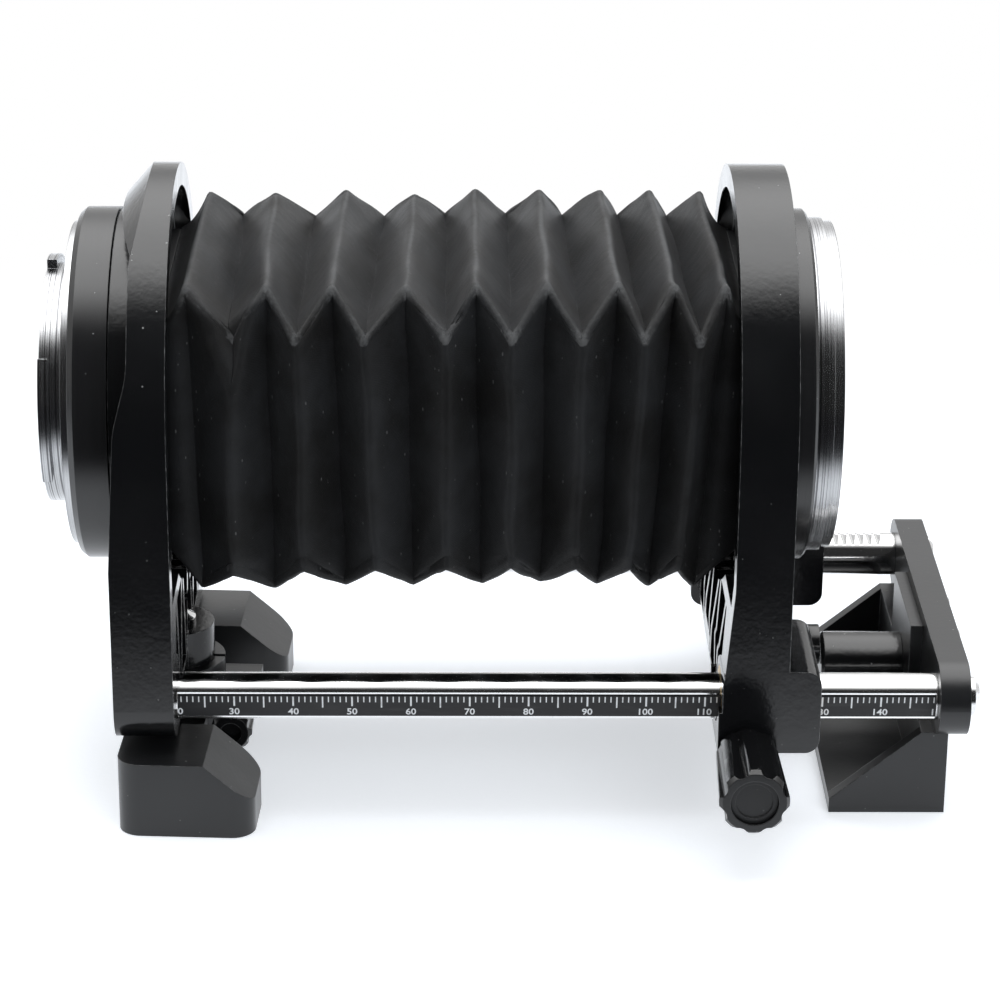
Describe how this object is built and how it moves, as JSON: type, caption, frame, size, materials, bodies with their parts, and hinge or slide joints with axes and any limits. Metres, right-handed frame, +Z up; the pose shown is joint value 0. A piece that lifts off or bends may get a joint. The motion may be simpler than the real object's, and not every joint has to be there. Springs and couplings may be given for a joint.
{
  "type": "macro bellows unit",
  "caption": "Macro bellows unit: pleated cloth bellows between a fixed camera standard and a geared lens standard on two rails, with a swivelling tripod base.",
  "frame": {"origin": "mouth of the tripod thread, on the swivel axis, in the plane of the feet's undersides", "axes": "+X along the rails towards the lens, +Z up, +Y away from the scale's side"},
  "size_m": [0.1597, 0.1128, 0.1054],
  "materials": {
    "body_paint": "gloss black enamel over cast aluminium",
    "bracket_paint": "satin black enamel over cast aluminium",
    "ring_black": "black anodised, turned",
    "knob_black": "gloss black moulding",
    "cap_black": "matt black",
    "rail_chrome": "polished hard chrome",
    "mount_chrome": "satin chrome over brass",
    "screw_chrome": "bright plated steel",
    "steel": "bare turned steel",
    "brass": "bare turned brass",
    "scale_black": "matt black with white graduations",
    "bellows_cloth": "matt black rubberised cloth",
    "frame_black": "matt black"
  },
  "bodies": {
    "frame": {"rear_standard": "body_paint", "front_rail": "rail_chrome", "rack_rail": "rail_chrome", "scale_strip": "scale_black", "end_bar": "bracket_paint", "end_bar_screws": "screw_chrome", "end_foot": "bracket_paint", "end_foot_screws": "screw_chrome", "stop_post": "bracket_paint", "rail_grub_screws": "steel", "bellows": "bellows_cloth", "rear_bellows_frame": "frame_black", "swivel_post": "steel", "swivel_screw": "screw_chrome"},
    "camera_mount": {"camera_ring": "ring_black", "camera_bayonet": "mount_chrome", "camera_bayonet_screws": "screw_chrome", "camera_retaining_ring": "ring_black"},
    "lens_standard": {"front_standard": "body_paint", "front_bellows_frame": "frame_black", "lens_ring": "ring_black", "lens_bayonet": "mount_chrome", "lens_bayonet_screws": "screw_chrome", "lens_spring_ring": "steel", "front_rail_bushes": "brass", "rack_rail_bushes": "brass", "pinion_bush": "brass", "lock_pad": "brass"},
    "lens_release": {"lens_release": "steel"},
    "focus_drive": {"pinion_shaft": "steel", "focus_knob": "knob_black", "focus_knob_cap": "cap_black"},
    "slide_lock": {"lock_screw": "steel", "lock_knob": "knob_black", "lock_knob_cap": "cap_black"},
    "base": {"tripod_base": "bracket_paint", "tripod_thread_insert": "steel"},
    "base_clamp": {"clamp_screw": "steel", "clamp_knob": "knob_black"}
  },
  "joints": [
    {"name": "camera_turn", "type": "hinge", "parent": "frame", "child": "camera_mount", "pos_m": [-0.01, 0, 0.0672], "axis": [1, 0, 0], "range_deg": [-90, 90]},
    {"name": "focus_slide", "type": "slide", "parent": "frame", "child": "lens_standard", "axis": [1, 0, 0], "range_m": [-0.075, 0], "deforming": ["bellows"]},
    {"name": "focus_turn", "type": "hinge", "parent": "lens_standard", "child": "focus_drive", "pos_m": [0.1054, 0.0312, 0.0293], "axis": [0, 1, 0], "range_deg": [-1080, 5]},
    {"name": "slide_lock_turn", "type": "hinge", "parent": "lens_standard", "child": "slide_lock", "pos_m": [0.0995, -0.04, 0.0144], "axis": [0, 1, 0], "range_deg": [-270, 0]},
    {"name": "lens_release_push", "type": "slide", "parent": "lens_standard", "child": "lens_release", "axis": [-1, 0, 0], "range_m": [0, 0.0016], "stiffness_N_per_m": 400, "springref_m": -0.001},
    {"name": "base_swivel", "type": "hinge", "parent": "frame", "child": "base", "pos_m": [0, 0, 0.01], "axis": [0, 0, 1], "range_deg": [-87, 93]},
    {"name": "base_clamp_turn", "type": "hinge", "parent": "base", "child": "base_clamp", "pos_m": [0.01158, -0.00061, 0.0084], "axis": [0.0523, 0.9986, 0], "range_deg": [-270, 0]}
  ],
  "couplings": [
    {"joint": "focus_turn", "follows": "focus_slide", "rad_per_m": 250}
  ]
}
